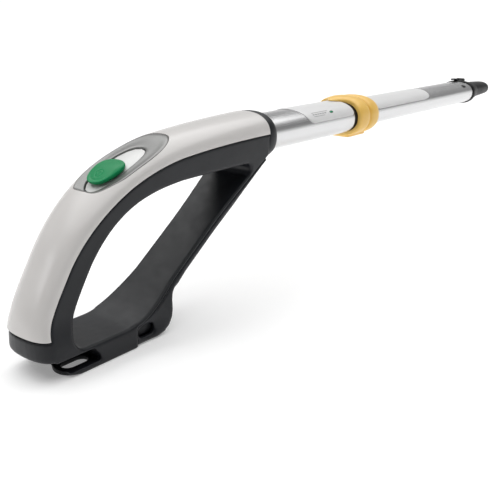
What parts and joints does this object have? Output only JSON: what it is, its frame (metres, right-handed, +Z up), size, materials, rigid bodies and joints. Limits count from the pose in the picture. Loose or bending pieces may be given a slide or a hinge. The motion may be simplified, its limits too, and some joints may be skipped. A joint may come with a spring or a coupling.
{
  "type": "telescopic cleaner handle",
  "caption": "Telescopic handle of an upright floor cleaner: D-shaped grip on a flat foot, sliding power switch, oval tubes with a release collar, and a plug at the end.",
  "frame": {"origin": "middle of the flat foot, on the surface the handle stands on", "axes": "+X along the tube towards the plug, +Y to the left side, +Z up"},
  "size_m": [0.6629, 0.0504, 0.1391],
  "materials": {
    "dark_plastic": "satin moulded",
    "white_gloss": "gloss",
    "satin_grey": "satin metallic",
    "green_knob": "satin",
    "yellow_collar": "satin",
    "black_plastic": "satin",
    "anodised_aluminium": "satin anodised",
    "light_panel": "satin film",
    "contact_brass": "bright",
    "spring_steel": "plain"
  },
  "bodies": {
    "handle": {"frame": "dark_plastic", "top_cover": "white_gloss", "switch_bezel": "satin_grey", "slide_track": "white_gloss", "switch_block": "black_plastic", "front_cover": "dark_plastic", "cord_hook_core": "dark_plastic", "tube_rim": "dark_plastic", "outer_tube": "anodised_aluminium", "label_panel": "light_panel", "guide_bush": "black_plastic", "mains_inlet": "black_plastic", "inlet_pin_left": "contact_brass", "inlet_pin_right": "contact_brass", "inlet_lead": "black_plastic", "tube_lead": "black_plastic", "coiled_lead": "black_plastic", "tube_screw_1": "spring_steel", "tube_screw_2": "spring_steel"},
    "switch_slider": {"switch_knob": "green_knob", "switch_carriage": "black_plastic", "contact_bridge": "contact_brass"},
    "release_ring": {"release_collar": "yellow_collar"},
    "lock": {"lock_pin": "spring_steel"},
    "inner_stage": {"inner_tube": "anodised_aluminium", "inner_panel": "light_panel", "plug_body": "black_plastic", "contact_right": "contact_brass", "contact_middle": "contact_brass", "contact_left": "contact_brass", "latch_arm": "black_plastic"},
    "plug_latch": {"latch_button": "black_plastic"}
  },
  "joints": [
    {"name": "power_switch", "type": "slide", "parent": "handle", "child": "switch_slider", "axis": [0.908, 0, 0.419], "range_m": [0, 0.015]},
    {"name": "collar_slide", "type": "slide", "parent": "handle", "child": "release_ring", "axis": [1, 0, 0], "range_m": [0, 0.006], "stiffness_N_per_m": 400, "springref_m": -0.004},
    {"name": "lock_drop", "type": "slide", "parent": "handle", "child": "lock", "axis": [0, 0, -1], "range_m": [0, 0.0024]},
    {"name": "telescope", "type": "slide", "parent": "handle", "child": "inner_stage", "axis": [-1, 0, 0], "range_m": [0, 0.13]},
    {"name": "latch_press", "type": "slide", "parent": "inner_stage", "child": "plug_latch", "axis": [0, 0.5331, -0.8461], "range_m": [0, 0.002], "stiffness_N_per_m": 300, "springref_m": -0.002}
  ],
  "couplings": [
    {"joint": "lock_drop", "follows": "collar_slide", "ratio": 0.4}
  ]
}
